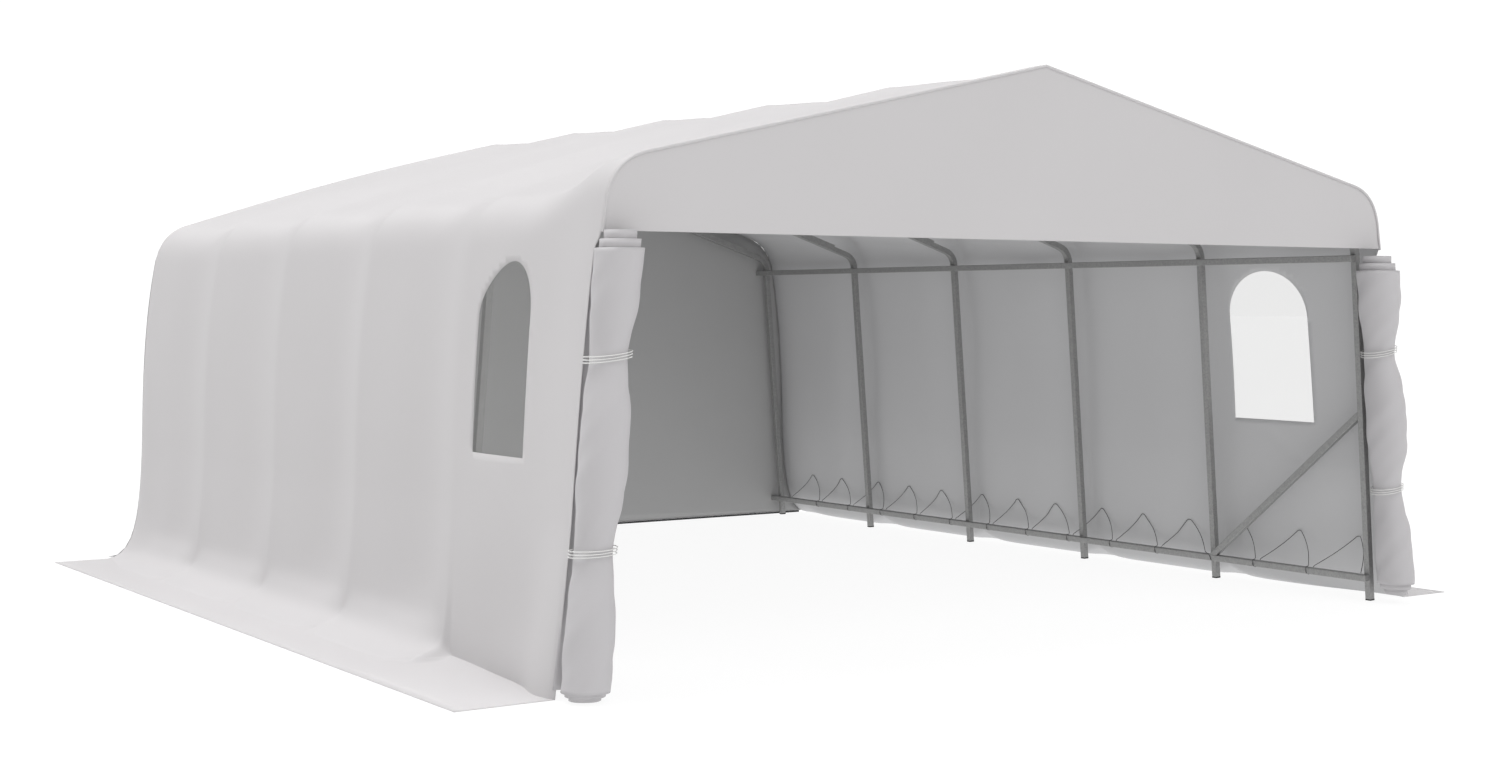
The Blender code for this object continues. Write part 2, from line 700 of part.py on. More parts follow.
def make_lacing(side):
    """Rope from the base rail up to the cover's eyelets and back, fourteen times."""
    reach = LACING_DIAMETER / 2 + EYELET_CLEARANCE
    top_x = rail_wrap(0.0, 0.0)[0][0]
    top_z = rail_wrap(0.0, 0.0)[0][2]
    route = []
    for loop in range(LACING_LOOPS):
        peak_y = LACING_FIRST + loop * LACING_PITCH
        peak = np.array([wall_inner_x(peak_y, LACING_PEAK_Z) - reach, peak_y, LACING_PEAK_Z])
        start = np.array([top_x, lacing_foot(peak_y, -1), top_z])
        end = np.array([top_x, lacing_foot(peak_y, 1), top_z])
        if loop == 0:
            route.append(tuple(start))
        for foot, parts in ((start, LACING_PARTS), (end, LACING_PARTS[-2::-1])):
            for part in parts:
                point = foot * (1 - part) + peak * part
                point[0] += LACING_BULGE * math.sin(math.pi * part)
                route.append(tuple(point))
        if loop < LACING_LOOPS - 1:
            route += rail_wrap(end[1], lacing_foot(peak_y + LACING_PITCH, -1))
        else:
            route.append(tuple(end))
    route = [(side * x, FRONT_ARCH_Y + y, z) for x, y, z in route]
    cord_object(f"lacing_rope_{SIDE_NAME[side]}", route, LACING_DIAMETER, LACE)


def build():
    """Make every piece of the shelter."""
    clear_scene()
    for number in range(1, ARCHES + 1):
        make_leg(-1, number)
        make_leg(1, number)
        make_roof_bow(number)
    make_rails()
    make_front_valance()
    make_rear_wall()
    for side in (-1, 1):
        make_brace(side)
        make_cover_side(side)
        make_rolled_door(side)
        make_tie(side, TIE_Z[side][0], "lower")
        make_tie(side, TIE_Z[side][1], "upper")
        make_lacing(side)


build()
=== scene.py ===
"""Portable double car shelter: the cloth cover, rolled doors, cords and finishes.

Units are metres, +Z is up and the open front faces -Y. A distance named along runs from the
plane of the front arch towards the closed rear. Each half of the cover is worked out with x
outwards, and its side, 1 for the right and -1 for the left, mirrors it into place. The halves
differ at the foot.
"""

import math

import bpy
import numpy as np
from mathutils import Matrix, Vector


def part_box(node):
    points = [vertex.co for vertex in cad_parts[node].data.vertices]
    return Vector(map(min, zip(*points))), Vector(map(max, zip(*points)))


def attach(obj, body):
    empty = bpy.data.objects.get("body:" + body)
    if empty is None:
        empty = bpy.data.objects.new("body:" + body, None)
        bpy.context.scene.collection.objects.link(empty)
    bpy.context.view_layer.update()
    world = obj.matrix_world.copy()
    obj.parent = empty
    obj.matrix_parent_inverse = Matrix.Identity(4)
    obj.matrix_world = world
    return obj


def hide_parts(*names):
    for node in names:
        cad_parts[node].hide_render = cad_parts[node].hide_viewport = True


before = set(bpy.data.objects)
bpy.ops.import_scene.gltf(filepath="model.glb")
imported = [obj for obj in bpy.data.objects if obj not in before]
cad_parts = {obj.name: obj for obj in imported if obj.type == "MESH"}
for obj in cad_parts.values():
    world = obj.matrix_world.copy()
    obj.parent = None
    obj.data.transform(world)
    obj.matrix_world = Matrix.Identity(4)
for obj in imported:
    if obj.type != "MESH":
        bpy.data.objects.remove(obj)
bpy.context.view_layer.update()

SIDES = {-1: "left", 1: "right"}

# Frame sizes that the cloth and cords follow
BAY = 1.2192
ARCHES = 6
FRAME_LENGTH = BAY * (ARCHES - 1)
TUBE = 0.038
FOOT_HALF_SPREAD = 2.665
LEG_LEAN = 0.083
BASE_RAIL_Z = 0.14
FRONT_ARCH_Y = sum(float(corner[1]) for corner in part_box("leg_right_1")) / 2

# Outline of the cover at the front and behind the first arches
RIDGE_Z = 2.975
FRONT_OVERHANG = 0.08
WALL_OVERHANG = 0.03
WALL_EDGE_TURN_Z = 1.99
VALANCE_BOTTOM_Z = 2.076
REAR_OVERHANG = 0.0697
REAR_EDGE = FRAME_LENGTH + REAR_OVERHANG
KNEE_Z = 0.75
CLOTH_TOP_ON_GROUND = 0.004
FLAP_EDGE_X = 3.315
CLOTH = 0.003

# Depth of the cloth's sag between two arches, width of its crests and shift towards the front
SAG = 0.042
SAG_CREST = 0.07
SAG_SHIFT = 0.22


def mix(rear, front, weight):
    """Blend of two values: rear where the weight is 0 and front where it is 1."""
    return rear + (front - rear) * weight


def ease(value):
    """Smooth step 3v2 - 2v3 of a value held between 0 and 1."""
    value = np.clip(value, 0.0, 1.0)
    return value * value * (3 - 2 * value)


def bezier(start, control, end, part):
    """Quadratic curve (1-p)2 start + 2p(1-p) control + p2 end."""
    return (1 - part) ** 2 * start + 2 * part * (1 - part) * control + part**2 * end


def bend(start, corner, end, fall, run, part):
    """Curve from start to end round a corner.

    It is corner + (start - corner)(1-p)^fall + (end - corner)p^run. Powers of 2 give a wide
    bend, and higher ones a closer one.
    """
    return corner + (start - corner) * (1 - part) ** fall + (end - corner) * part**run


def leg_x(z):
    """Middle line of a leaning leg."""
    return FOOT_HALF_SPREAD - LEG_LEAN * z


def unit(vectors):
    """Vectors scaled to a length of 1."""
    return vectors / np.linalg.norm(vectors, axis=-1, keepdims=True)


# Cover surface


def cover_shape(along, side=-1):
    """Sizes of the cover's outline, eased from the front outline to the rear one.

    The roof and shoulder change within 0.75 m of the front arch, the wall over the second
    arch. The front wall meets the flap at a close corner, which runs up to the second arch
    on the left and gives way to the wider foot much sooner on the right. Behind it the foot
    bends outwards, far on the left and less on the right. On the inner arches the cloth is
    pinched up into a ridge that bends out less. At the rear edge both feet are alike.
    """
    upper = 1 - ease(along / 0.75)
    lower = 1 - ease((along - 0.75) / 0.60)
    left = np.asarray(side) < 0
    front = 1 - ease((along - np.where(left, 1.12, 0.35)) / np.where(left, 0.09, 0.95))
    rear = ease((along - 5.55) / 0.55)
    crest = crest_weight(along) * (1 - front)
    left_foot = 2.775 + 0.085 * np.exp(-(((along - 0.08) / 0.24) ** 2))
    right_foot = 2.870 + 0.080 * np.exp(-(((along - 0.10) / 0.45) ** 2))
    front_foot = np.where(left, left_foot, right_foot)
    front_z = CLOTH_TOP_ON_GROUND + 0.025 * ease((along - 0.45) / 0.7) * left
    bay_foot = np.where(left, 3.040, 2.885)
    arch_foot = np.where(left, 2.905, 2.870)

    def placed(bay, at_rear, on_arch, at_front):
        """Value of the bays, changed over at the rear edge, on the arches and at the front."""
        return mix(mix(mix(bay, at_rear, rear), on_arch, crest), at_front, front)

    shape = {
        "pitch": mix(0.281, 0.225, upper),
        "crown": mix(0.030, 0.0, upper),
        "shoulder": mix(0.20, 0.18, upper),
        "knee": mix(2.711, 2.742, lower),
        "lean": mix(0.024, 0.078, lower),
        "bow": mix(0.035, 0.0133, lower),
        "corner_low_x": placed(2.756, 2.745, 2.768, front_foot - 0.005),
        "corner_low_z": placed(np.where(left, 0.088, 0.030), 0.045, 0.085, front_z),
        "fall": placed(5.0, 2.3, 5.5, 6.0),
        "run": placed(1.9, 2.3, 2.2, 6.0),
        "foot_x": placed(bay_foot, 2.958, arch_foot, front_foot),
        "foot_z": mix(CLOTH_TOP_ON_GROUND + 0.030 * crest, front_z, front),
        "tuck": (1 - front) * (1 - rear) * (1 - crest),
    }
    corner_z = RIDGE_Z - shape["pitch"] * FOOT_HALF_SPREAD
    for _ in range(6):
        corner_x = wall_x(shape, corner_z)
        corner_z = RIDGE_Z - shape["pitch"] * corner_x
    shape["corner_x"], shape["corner_z"] = corner_x, corner_z
    shape["roof_x"] = corner_x - shape["shoulder"]
    shape["wall_z"] = corner_z - shape["shoulder"]
    return shape


def wall_x(shape, z):
    """Outer face of the wall above the knee: knee - lean r - bow r3, for a rise r above it."""
    rise = z - KNEE_Z
    return shape["knee"] - shape["lean"] * rise - shape["bow"] * rise**3


def crest_weight(along):
    """1 on the planes of the inner arches, falling away slowly in front and steeply behind."""
    inner = ease((along - 0.8) / 0.3) * (1 - ease((along - 5.2) / 0.5))
    behind = (along + BAY / 2) % BAY - BAY / 2
    return inner * np.exp(-((np.abs(behind) / np.where(behind > 0, 0.075, 0.100)) ** 1.4))


def sag(along):
    """How far the cloth draws in between two arches: a sine arch with a narrow crest.

    The place w in the bay is shifted by 0.22 times the square of sin(pi w), so that the
    cloth is deepest in the front half of the bay. The first bay, with the windows, sags
    little more than half as far.
    """
    place = along / BAY
    place = place + SAG_SHIFT * np.sin(math.pi * place) ** 2
    wave = np.abs(np.sin(math.pi * place))
    soft = (np.sqrt(wave**2 + SAG_CREST**2) - SAG_CREST) / (math.hypot(1, SAG_CREST) - SAG_CREST)
    inside = (along > 0) & (along < FRAME_LENGTH)
    return np.where(inside, SAG * soft * mix(1.0, 0.55, 1 - ease(along / BAY - 0.6)), 0.0)


def outline(along, part, side=-1):
    """Outer face of the cover's right half before it sags, as x and z.

    Part 0 to 1 is the roof, a straight fall with a sine crown; 1 to 2 the shoulder, a
    quadratic curve; 2 to 3 the wall, a cubic in height; 3 to 4 the flare, a bend from the
    knee to the foot, drawn in where it is laced; and 4 to 5 the flap, straight to its
    edge on the ground.
    """
    shape = cover_shape(along, side)
    roof, shoulder, wall, flare, flap = (np.clip(part - start, 0.0, 1.0) for start in range(5))
    roof_edge_z = RIDGE_Z - shape["pitch"] * shape["roof_x"]
    wall_height = mix(shape["wall_z"], KNEE_Z, wall)
    foot_x, foot_z = shape["foot_x"], shape["foot_z"]
    low_z = bend(KNEE_Z, shape["corner_low_z"], foot_z, shape["fall"], shape["run"], flare)
    low_x = bend(shape["knee"], shape["corner_low_x"], foot_x, shape["fall"], shape["run"], flare)
    dent = 0.010 * shape["tuck"] * np.exp(-(((low_z - 0.21) / 0.06) ** 2)) * ease(flare / 0.1)
    xs = (
        shape["roof_x"] * roof,
        bezier(shape["roof_x"], shape["corner_x"], wall_x(shape, shape["wall_z"]), shoulder),
        wall_x(shape, wall_height),
        low_x - dent,
        mix(foot_x, FLAP_EDGE_X, flap),
    )
    zs = (
        RIDGE_Z - shape["pitch"] * shape["roof_x"] * roof + shape["crown"] * np.sin(math.pi * roof),
        bezier(roof_edge_z, shape["corner_z"], shape["wall_z"], shoulder),
        wall_height,
        low_z,
        mix(CLOTH_TOP_ON_GROUND, foot_z, 0.92 * np.exp(-((flap / 0.09) ** 2)) + 0.08 * (1 - flap)),
    )
    where = [part < 1, part < 2, part < 3, part < 4]
    return np.select(where, xs[:4], xs[4]), np.select(where, zs[:4], zs[4])


def ripples(along, part):
    """Slow waves of a few millimetres where the cloth hangs between its seams."""
    wave = 0.5 * np.sin(2.9 * along + 1.7 * part + 0.6) + 0.3 * np.sin(6.3 * along - 4.1 * part)
    wave = wave + 0.2 * np.sin(11.0 * along + 2.2 * part + 1.9)
    return 0.004 * wave * ease((4.1 - part) / 0.8) * ease(along / 0.4) * ease(part / 0.4)


def front_edge(z):
    """How far the front edge stands before the front arch: less below the valance."""
    turned = ease((z - WALL_EDGE_TURN_Z) / (VALANCE_BOTTOM_Z - WALL_EDGE_TURN_Z))
    return mix(WALL_OVERHANG, FRONT_OVERHANG, turned)


def window_fold(along, z):
    """Soft fold 6 mm high from a window's lower rear corner, forwards and down to the foot.

    A ridge exp(-(d / 45 mm)2) of the distance d to its line, fading at both ends.
    """
    forward, down = 0.96 - along, WINDOW_SILL - z
    ahead, below = 0.844, 0.536
    run = ahead * forward + below * down
    off = below * forward - ahead * down
    return 0.006 * np.exp(-((off / 0.045) ** 2)) * ease(run / 0.10) * ease((0.75 - run) / 0.40)


def cover_points(along, part, depth=0.0, side=-1):
    """Points of the right half, drawn in along the outline's normal by the sag and a depth.

    The normal is the outline's direction turned a quarter outwards, and points straight up
    on the ridge. The sag fades out over the last 0.35 m above the ground, and is a third
    deeper on the walls of the second and third bays.
    """
    step = 0.02
    x, z = outline(along, part, side)
    x_before, z_before = outline(along, np.maximum(part - step, 0.0), side)
    x_after, z_after = outline(along, np.minimum(part + step, 5.0), side)
    normal_x, normal_z = z_before - z_after, x_after - x_before
    normal_x = normal_x * ease(part / 0.15)
    length = np.hypot(normal_x, normal_z)
    normal_x, normal_z = normal_x / length, normal_z / length
    fade = ease((z - 0.03) / 0.32)
    near = ease((along - 1.15) / 0.3) * (1 - ease((along - 3.1) / 0.6)) * ease(part - 1.2)
    move = sag(along) * fade * (1 + 0.35 * near) + depth - ripples(along, part)
    move = move - window_fold(along, z) * (part > 2)
    x, z = x - normal_x * move, z - normal_z * move
    reach = np.where(along < 0, along * front_edge(z) / FRONT_OVERHANG, along)
    return np.stack([x, FRONT_ARCH_Y + reach, z], axis=-1)


def wall_part(along, z):
    """Part of the outline that lies at a height on the wall."""
    top = cover_shape(along)["wall_z"]
    return 2 + (top - z) / (top - KNEE_Z)


# Meshes


def grid(rows, columns, around=False):
    """Quads between neighbouring points of a grid, with each corner's row and column."""
    last = columns if around else columns - 1
    row, column = (index.ravel() for index in np.mgrid[0 : rows - 1, 0:last])
    corner_row = np.stack([row, row, row + 1, row + 1], axis=1)
    corner_column = np.stack([column, column + 1, column + 1, column], axis=1)
    return corner_row * columns + corner_column % columns, corner_row, corner_column


def make_piece(name, points, faces, looks, uv, slot=None, caps=(), sharp=40, stands_for=()):
    """Mesh piece on the root body, with uv in metres for each face corner.

    Caps close the ends of a bar and have no cloth direction, so their uv is 0. Edges that
    turn by more than the angle named sharp aren't shaded as round.
    """
    data = bpy.data.meshes.new(name)
    all_faces = faces.tolist() + [list(cap) for cap in caps]
    data.from_pydata(np.reshape(points, (-1, 3)).tolist(), [], all_faces)
    flat = np.reshape(uv, (-1, 2))
    spare = np.zeros((len(data.loops) - len(flat), 2))
    layer = data.uv_layers.new(name="cloth")
    layer.uv.foreach_set("vector", np.concatenate([flat, spare]).astype(np.float32).ravel())
    data.shade_smooth()
    data.set_sharp_from_angle(angle=math.radians(sharp))
    for look in looks:
        data.materials.append(look)
    made = bpy.data.objects.new(name, data)
    bpy.context.collection.objects.link(made)
    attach(made, "root")
    if stands_for:
        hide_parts(*stands_for)
    return made


def thicken(piece, thickness, inner_look=False):
    """Give a sheet its thickness on its inner side."""
    solid = piece.modifiers.new("Thickness", "SOLIDIFY")
    solid.thickness = thickness
    solid.offset = -1
    if inner_look:
        solid.material_offset = 1
    return piece


def sweep(path, section, reference):
    """Profile carried along a path: path + s side + o over.

    Side is the path's direction crossed with the reference, and over the direction crossed
    with side. Returns the points and both lengths in metres.
    """
    path = np.asarray(path, float)
    section = np.asarray(section, float)
    way = unit(np.gradient(path, axis=0))
    side = unit(np.cross(way, reference))
    over = np.cross(way, side)
    points = path[:, None] + section[None, :, :1] * side[:, None]
    points = points + section[None, :, 1:] * over[:, None]
    along = np.concatenate([[0.0], np.cumsum(np.linalg.norm(np.diff(path, axis=0), axis=1))])
    closed = np.concatenate([section, section[:1]])
    across = np.concatenate([[0.0], np.cumsum(np.linalg.norm(np.diff(closed, axis=0), axis=1))])
    return points, along, across


def swept_piece(name, paths, section, reference, looks, **facts):
    """One piece of closed bars, each a section swept along its own path."""
    points, faces, uv, caps, start = [], [], [], [], 0
    for path in paths:
        made, along, across = sweep(path, section, reference)
        rows, columns = made.shape[:2]
        quads, corner_row, corner_column = grid(rows, columns, around=True)
        points.append(made.reshape(-1, 3))
        faces.append(quads + start)
        uv.append(np.stack([along[corner_row], across[corner_column]], axis=-1))
        caps.append(range(start + columns - 1, start - 1, -1))
        caps.append(range(start + (rows - 1) * columns, start + rows * columns))
        start += rows * columns
    points, faces, uv = (np.concatenate(runs) for runs in (points, faces, uv))
    return make_piece(name, points, faces, looks, uv, caps=caps, **facts)


def circle(radius, sides):
    """Round section."""
    angle = np.arange(sides) * 2 * math.pi / sides
    return np.stack([radius * np.cos(angle), radius * np.sin(angle)], axis=1)


# Materials


def srgb(code):
    """Linear colour of an sRGB hex value."""
    value = np.array([int(code[place : place + 2], 16) for place in (1, 3, 5)]) / 255
    linear = np.where(value <= 0.04045, value / 12.92, ((value + 0.055) / 1.055) ** 2.4)
    return (*linear.tolist(), 1.0)


def add_node(tree, kind, inputs=(), **settings):
    """Add a node. Settings are its own values; inputs give a socket a value or a link."""
    made = tree.nodes.new(kind)
    for name, value in settings.items():
        setattr(made, name, value)
    for socket, value in dict(inputs).items():
        if isinstance(value, bpy.types.NodeSocket):
            tree.links.new(value, made.inputs[socket])
        else:
            made.inputs[socket].default_value = value
    return made


def start_material(name, **values):
    """Material with a Principled shader and its uniform values."""
    made = bpy.data.materials.new(name)
    made.use_nodes = True
    tree = made.node_tree
    shader = tree.nodes["Principled BSDF"]
    for socket, value in values.items():
        shader.inputs[socket.replace("_", " ")].default_value = value
    return made, tree, shader


def noise(tree, place, scale, detail):
    """Noise in the piece's own space, coarser for a lower scale."""
    values = {"Vector": place.outputs["Object"], "Scale": scale, "Detail": detail}
    return add_node(tree, "ShaderNodeTexNoise", values).outputs["Fac"]


def bands(tree, place, spacing, direction, **values):
    """Sine bands at a spacing in metres, counted along the cloth or cord.

    A wave texture of scale 1 has its bands 0.314 m apart.
    """
    values = {"Vector": place.outputs["UV"], "Scale": 0.314 / spacing, **values}
    return add_node(tree, "ShaderNodeTexWave", values, bands_direction=direction).outputs["Fac"]


def set_tone(tree, shader, share, dark, light):
    """Colour of the shader: dark where the share is 0 and light where it is 1."""
    values = {"Factor": share, "A": srgb(dark), "B": srgb(light)}
    colour = add_node(tree, "ShaderNodeMix", values, data_type="RGBA")
    tree.links.new(colour.outputs["Result"], shader.inputs["Base Color"])


def set_roughness(tree, shader, share, low, high):
    """Roughness of the shader: low where the share is 0 and high where it is 1."""
    rough = add_node(tree, "ShaderNodeMapRange", {"Value": share, "To Min": low, "To Max": high})
    tree.links.new(rough.outputs["Result"], shader.inputs["Roughness"])


def set_relief(tree, shader, height, strength, distance):
    """Fine relief of the shader from a height between 0 and 1."""
    values = {"Height": height, "Strength": strength, "Distance": distance}
    bump = add_node(tree, "ShaderNodeBump", values)
    tree.links.new(bump.outputs["Normal"], shader.inputs["Normal"])


def coated_cloth(name, light, dark, roughness):
    """Woven polyethylene tape cloth, coated on both faces.

    The eye sees an even satin face with faint cloudy tone, a fine cross of tapes that shows
    only close to, and a slight sheen. Tapes are 2.5 mm wide; the cross is drawn at 5 mm. The
    tone is 3/4 cloud and 1/4 speck.
    """
    made, tree, shader = start_material(name, Specular_IOR_Level=0.15)
    place = add_node(tree, "ShaderNodeTexCoord")
    cloud = noise(tree, place, 1.1, 4.0)
    speck = noise(tree, place, 160.0, 2.0)
    share = add_node(tree, "ShaderNodeMath", {0: cloud, 1: 0.75}, operation="MULTIPLY").outputs[0]
    values = {0: speck, 1: 0.25, 2: share}
    share = add_node(tree, "ShaderNodeMath", values, operation="MULTIPLY_ADD").outputs[0]
    tapes = dict(enumerate(bands(tree, place, 0.005, way) for way in "XY"))
    weave = add_node(tree, "ShaderNodeMath", tapes, operation="MAXIMUM").outputs[0]
    set_tone(tree, shader, share, dark, light)
    set_roughness(tree, shader, cloud, roughness - 0.08, roughness + 0.08)
    set_relief(tree, shader, weave, 0.25, 0.0004)
    return made


def zinc_steel():
    """Steel tube dipped in molten zinc: a soft grey metal with flat crystals 6 to 12 mm across."""
    made, tree, shader = start_material("hot_dip_galvanised_steel", Metallic=0.6)
    place = add_node(tree, "ShaderNodeTexCoord")
    values = {"Vector": place.outputs["Object"], "Scale": 110.0}
    crystals = add_node(tree, "ShaderNodeTexVoronoi", values)
    tone = add_node(tree, "ShaderNodeSeparateColor", {"Color": crystals.outputs["Color"]})
    set_tone(tree, shader, tone.outputs["Red"], "#989898", "#A6A6A5")
    set_roughness(tree, shader, tone.outputs["Green"], 0.50, 0.65)
    set_relief(tree, shader, noise(tree, place, 300.0, 3.0), 0.12, 0.0003)
    return made


def braided_cord(name, light, dark):
    """Braided polyester cord: a matt thread surface whose strands cross at a steady slant.

    Strands are 1 mm wide, drawn 4 mm apart so that they show.
    """
    made, tree, shader = start_material(name, Roughness=0.75)
    place = add_node(tree, "ShaderNodeTexCoord")
    braid = bands(tree, place, 0.004, "DIAGONAL", Distortion=0.6)
    set_tone(tree, shader, braid, dark, light)
    set_relief(tree, shader, braid, 0.5, 0.0006)
    return made


def clear_vinyl():
    """Pressed clear vinyl film: it lets most light through and hangs in faint long waves."""
    values = {"Base_Color": srgb("#8E8E8C"), "Roughness": 0.12, "Alpha": 0.15, "IOR": 1.53}
    made, tree, shader = start_material("pressed_clear_vinyl_film", **values)
    place = add_node(tree, "ShaderNodeTexCoord")
    set_relief(tree, shader, noise(tree, place, 5.0, 1.0), 0.35, 0.01)
    return made


def dark_webbing():
    """Woven polypropylene webbing, matt and nearly black, with ribs drawn 4 mm apart."""
    made, tree, shader = start_material("woven_polypropylene_webbing", Roughness=0.85)
    place = add_node(tree, "ShaderNodeTexCoord")
    ribs = bands(tree, place, 0.004, "X")
    set_tone(tree, shader, ribs, "#2E2E30", "#414143")
    set_relief(tree, shader, ribs, 0.5, 0.0006)
    return made


def moulded_plug():
    """Moulded black polyethylene with the fine grain of its tool."""
    made, tree, shader = start_material("moulded_black_polyethylene", Roughness=0.6)
    place = add_node(tree, "ShaderNodeTexCoord")
    grain = noise(tree, place, 900.0, 2.0)
    set_tone(tree, shader, grain, "#161616", "#242424")
    set_relief(tree, shader, grain, 0.3, 0.0003)
    return made


# Coated woven polyethylene: a bright satin outside and a duller face inside, and darker copies that
# paint shade on the rear wall's inner face and on the rolled doors
OUTER_CLOTH = coated_cloth("coated_woven_polyethylene_outer_face", "#CBC9CA", "#C5C3C4", 0.55)
INNER_CLOTH = coated_cloth("coated_woven_polyethylene_inner_face", "#C9C9CA", "#C3C3C4", 0.65)
# Painted shade: the rear wall's inner face is a darker copy of the cloth, for the shade deep inside
# the shelter
REAR_INNER_SHADED_CLOTH = coated_cloth(
    "coated_woven_polyethylene_rear_inner_face_painted_shade", "#B1B1B1", "#ABABAB", 0.65
)
# Painted shade: the rolled doors take a darker copy of the cover's cloth, for the shade on the rolls
DOOR_SHADED_CLOTH = coated_cloth("coated_woven_polyethylene_door_face_painted_shade", "#C2C0C2", "#BCBABC", 0.55)

# Galvanised steel and moulded polyethylene: dull grey tubes on black plugs
STEEL = zinc_steel()
PLUG = moulded_plug()

# Clear vinyl, dark webbing and braided polyester: glassy panes, a black hem and matt cords
FILM = clear_vinyl()
WEBBING = dark_webbing()
WHITE_CORD = braided_cord("braided_white_polyester_cord", "#ECECEA", "#D2D2D0")
GREY_CORD = braided_cord("braided_grey_polyester_cord", "#626262", "#464646")


# Cover piece

# Each window: its middle at the sill, lean, half width, foot and top of its arch, and skew
WINDOWS = {
    -1: {"centre": 0.763, "lean": 0.050, "half": 0.2535, "spring": 1.70, "top": 1.948, "skew": 0.035},
    1: {"centre": 0.784, "lean": 0.014, "half": 0.323, "spring": 1.68, "top": 1.962, "skew": 0.0},
}
WINDOW_SILL = 1.035


def window_top(side, across, lap=0.0):
    """Height of the arched top: spring + rise times the root of 1 - a2.

    The rise is less towards the rear side by the window's own skew.
    """
    window = WINDOWS[side]
    bow = np.sqrt(np.maximum(1 - across**2, 0.0))
    rise = window["top"] + lap - window["spring"] - 2 * window["skew"] * across
    return window["spring"] + bow * rise


def window_across(side, along, z):
    """Place across a leaning window, from -1 at its front side to 1 at its rear side."""
    window = WINDOWS[side]
    return (along - window["centre"] - window["lean"] * (z - WINDOW_SILL)) / window["half"]


def window_along(side, across, z, lap=0.0):
    """Distance behind the front arch of a place across a window."""
    window = WINDOWS[side]
    return window["centre"] + window["lean"] * (z - WINDOW_SILL) + (window["half"] + lap) * across


def inside_window(side, along, z):
    """True inside the arched window."""
    across = window_across(side, along, z)
    return (np.abs(across) < 1) & (z < window_top(side, across)) & (z > WINDOW_SILL)


def onto_window_edge(side, along, z):
    """Nearest place on the window's edge: the sill, a straight side, or the arch along its ray."""
    window = WINDOWS[side]
    across = window_across(side, along, z)
    rise = np.maximum(window["top"] - window["spring"] - 2 * window["skew"] * across, 0.05)
    up = (z - window["spring"]) / rise
    ray = np.hypot(across, up)
    arch = up > 0
    to_side = window["half"] * np.abs(1 - np.abs(across))
    upright = ~arch & (to_side < np.abs(z - WINDOW_SILL))
    new_across = np.where(arch, across / ray, np.where(upright, np.sign(across), across))
    new_z = np.where(arch, window_top(side, new_across), np.where(upright, z, WINDOW_SILL))
    return window_along(side, new_across, new_z), new_z


def cover_rows():
    """Places of the grid's rows: closer together beside each arch, even over the windows."""
    windows_end = 1.06
    rows = [np.array([-0.08, -0.06, -0.04, -0.02])]
    rows.append(np.linspace(0.0, windows_end, 36)[:-1])
    rows.append(np.linspace(windows_end, BAY, 11)[:-1])
    step = np.linspace(0.0, 1.0, 36)[:-1]
    step = step - 0.7 * np.sin(2 * math.pi * step) / (2 * math.pi)
    rows += [BAY * (bay + step) for bay in range(1, ARCHES - 1)]
    rows.append(np.linspace(FRAME_LENGTH, REAR_EDGE, 4))
    return np.concatenate(rows)


def cover_columns():
    """Parts of the outline where one half's columns lie, closer by the foot on the flap."""
    counts = (28, 14, 42, 30, 10)
    runs = [np.arange(count) / count for count in counts]
    runs[4] = runs[4] ** 1.6
    return np.concatenate([run + place for place, run in enumerate(runs)] + [[5.0]])


def make_cover():
    """The whole cover as one sheet from flap edge to flap edge, with both windows cut out.

    Cells whose middle lies in a window are left out, and the ring of points round the hole
    is drawn onto the window's edge before the surface is worked out.
    """
    half = cover_columns()
    rows = cover_rows()
    part = np.tile(np.concatenate([half[:0:-1], half]), (len(rows), 1))
    along = np.tile(rows[:, None], (1, part.shape[1]))
    side = np.concatenate([-np.ones(len(half) - 1), np.ones(len(half))])
    shape = cover_shape(along)
    height = mix(shape["wall_z"], KNEE_Z, np.clip(part - 2, 0, 1))
    wall = (part > 2) & (part < 3)
    faces, corner_row, corner_column = grid(*part.shape)
    middle_along = along.ravel()[faces].mean(axis=1)
    middle_height = height.ravel()[faces].mean(axis=1)
    cut = np.zeros(len(faces), bool)
    half_of = np.tile(side, len(rows))
    for half_sign in SIDES:
        own = wall.ravel()[faces].all(axis=1) & (half_of[faces[:, 0]] == half_sign)
        hole = own & inside_window(half_sign, middle_along, middle_height)
        cut |= hole
        edge = np.intersect1d(faces[hole], faces[own & ~hole])
        place = along.ravel()[edge], height.ravel()[edge]
        edge_along, edge_height = onto_window_edge(half_sign, *place)
        for corner in (-1, 1):
            corner_along = window_along(half_sign, corner, WINDOW_SILL)
            nearest = np.argmin(np.hypot(edge_along - corner_along, edge_height - WINDOW_SILL))
            edge_along[nearest], edge_height[nearest] = corner_along, WINDOW_SILL
        along.ravel()[edge] = edge_along
        part.ravel()[edge] = wall_part(edge_along, edge_height)
    points = cover_points(along, part, side=side)
    points[..., 0] *= side
    points[:, len(half) - 1, 0] = 0.0
    width = np.linalg.norm(np.diff(points, axis=1), axis=2).mean(axis=0)
    across = np.concatenate([[0.0], np.cumsum(width)])
    uv = np.stack([rows[corner_row], across[corner_column]], axis=-1)
    used, faces = np.unique(faces[~cut], return_inverse=True)
    kinds = ("roof_cover", "wall_cover", "ground_flap")
    nodes = [f"{kind}_{name}" for kind in kinds for name in SIDES.values()]
    piece = make_piece(
        "cover_cloth",
        points.reshape(-1, 3)[used],
        faces.reshape(-1, 4),
        [OUTER_CLOTH, INNER_CLOTH],
        uv[~cut],
        slot="cover_fabric",
        stands_for=nodes,
    )
    thicken(piece, CLOTH, inner_look=True)


# Ends of the shelter


def span(*runs):
    """Rising places from 0 to 1: each run is its end and its number of steps."""
    places, start = [], 0.0
    for end, steps in runs:
        places.append(start + (end - start) * np.arange(steps) / steps)
        start = end
    return np.concatenate(places + [[start]])


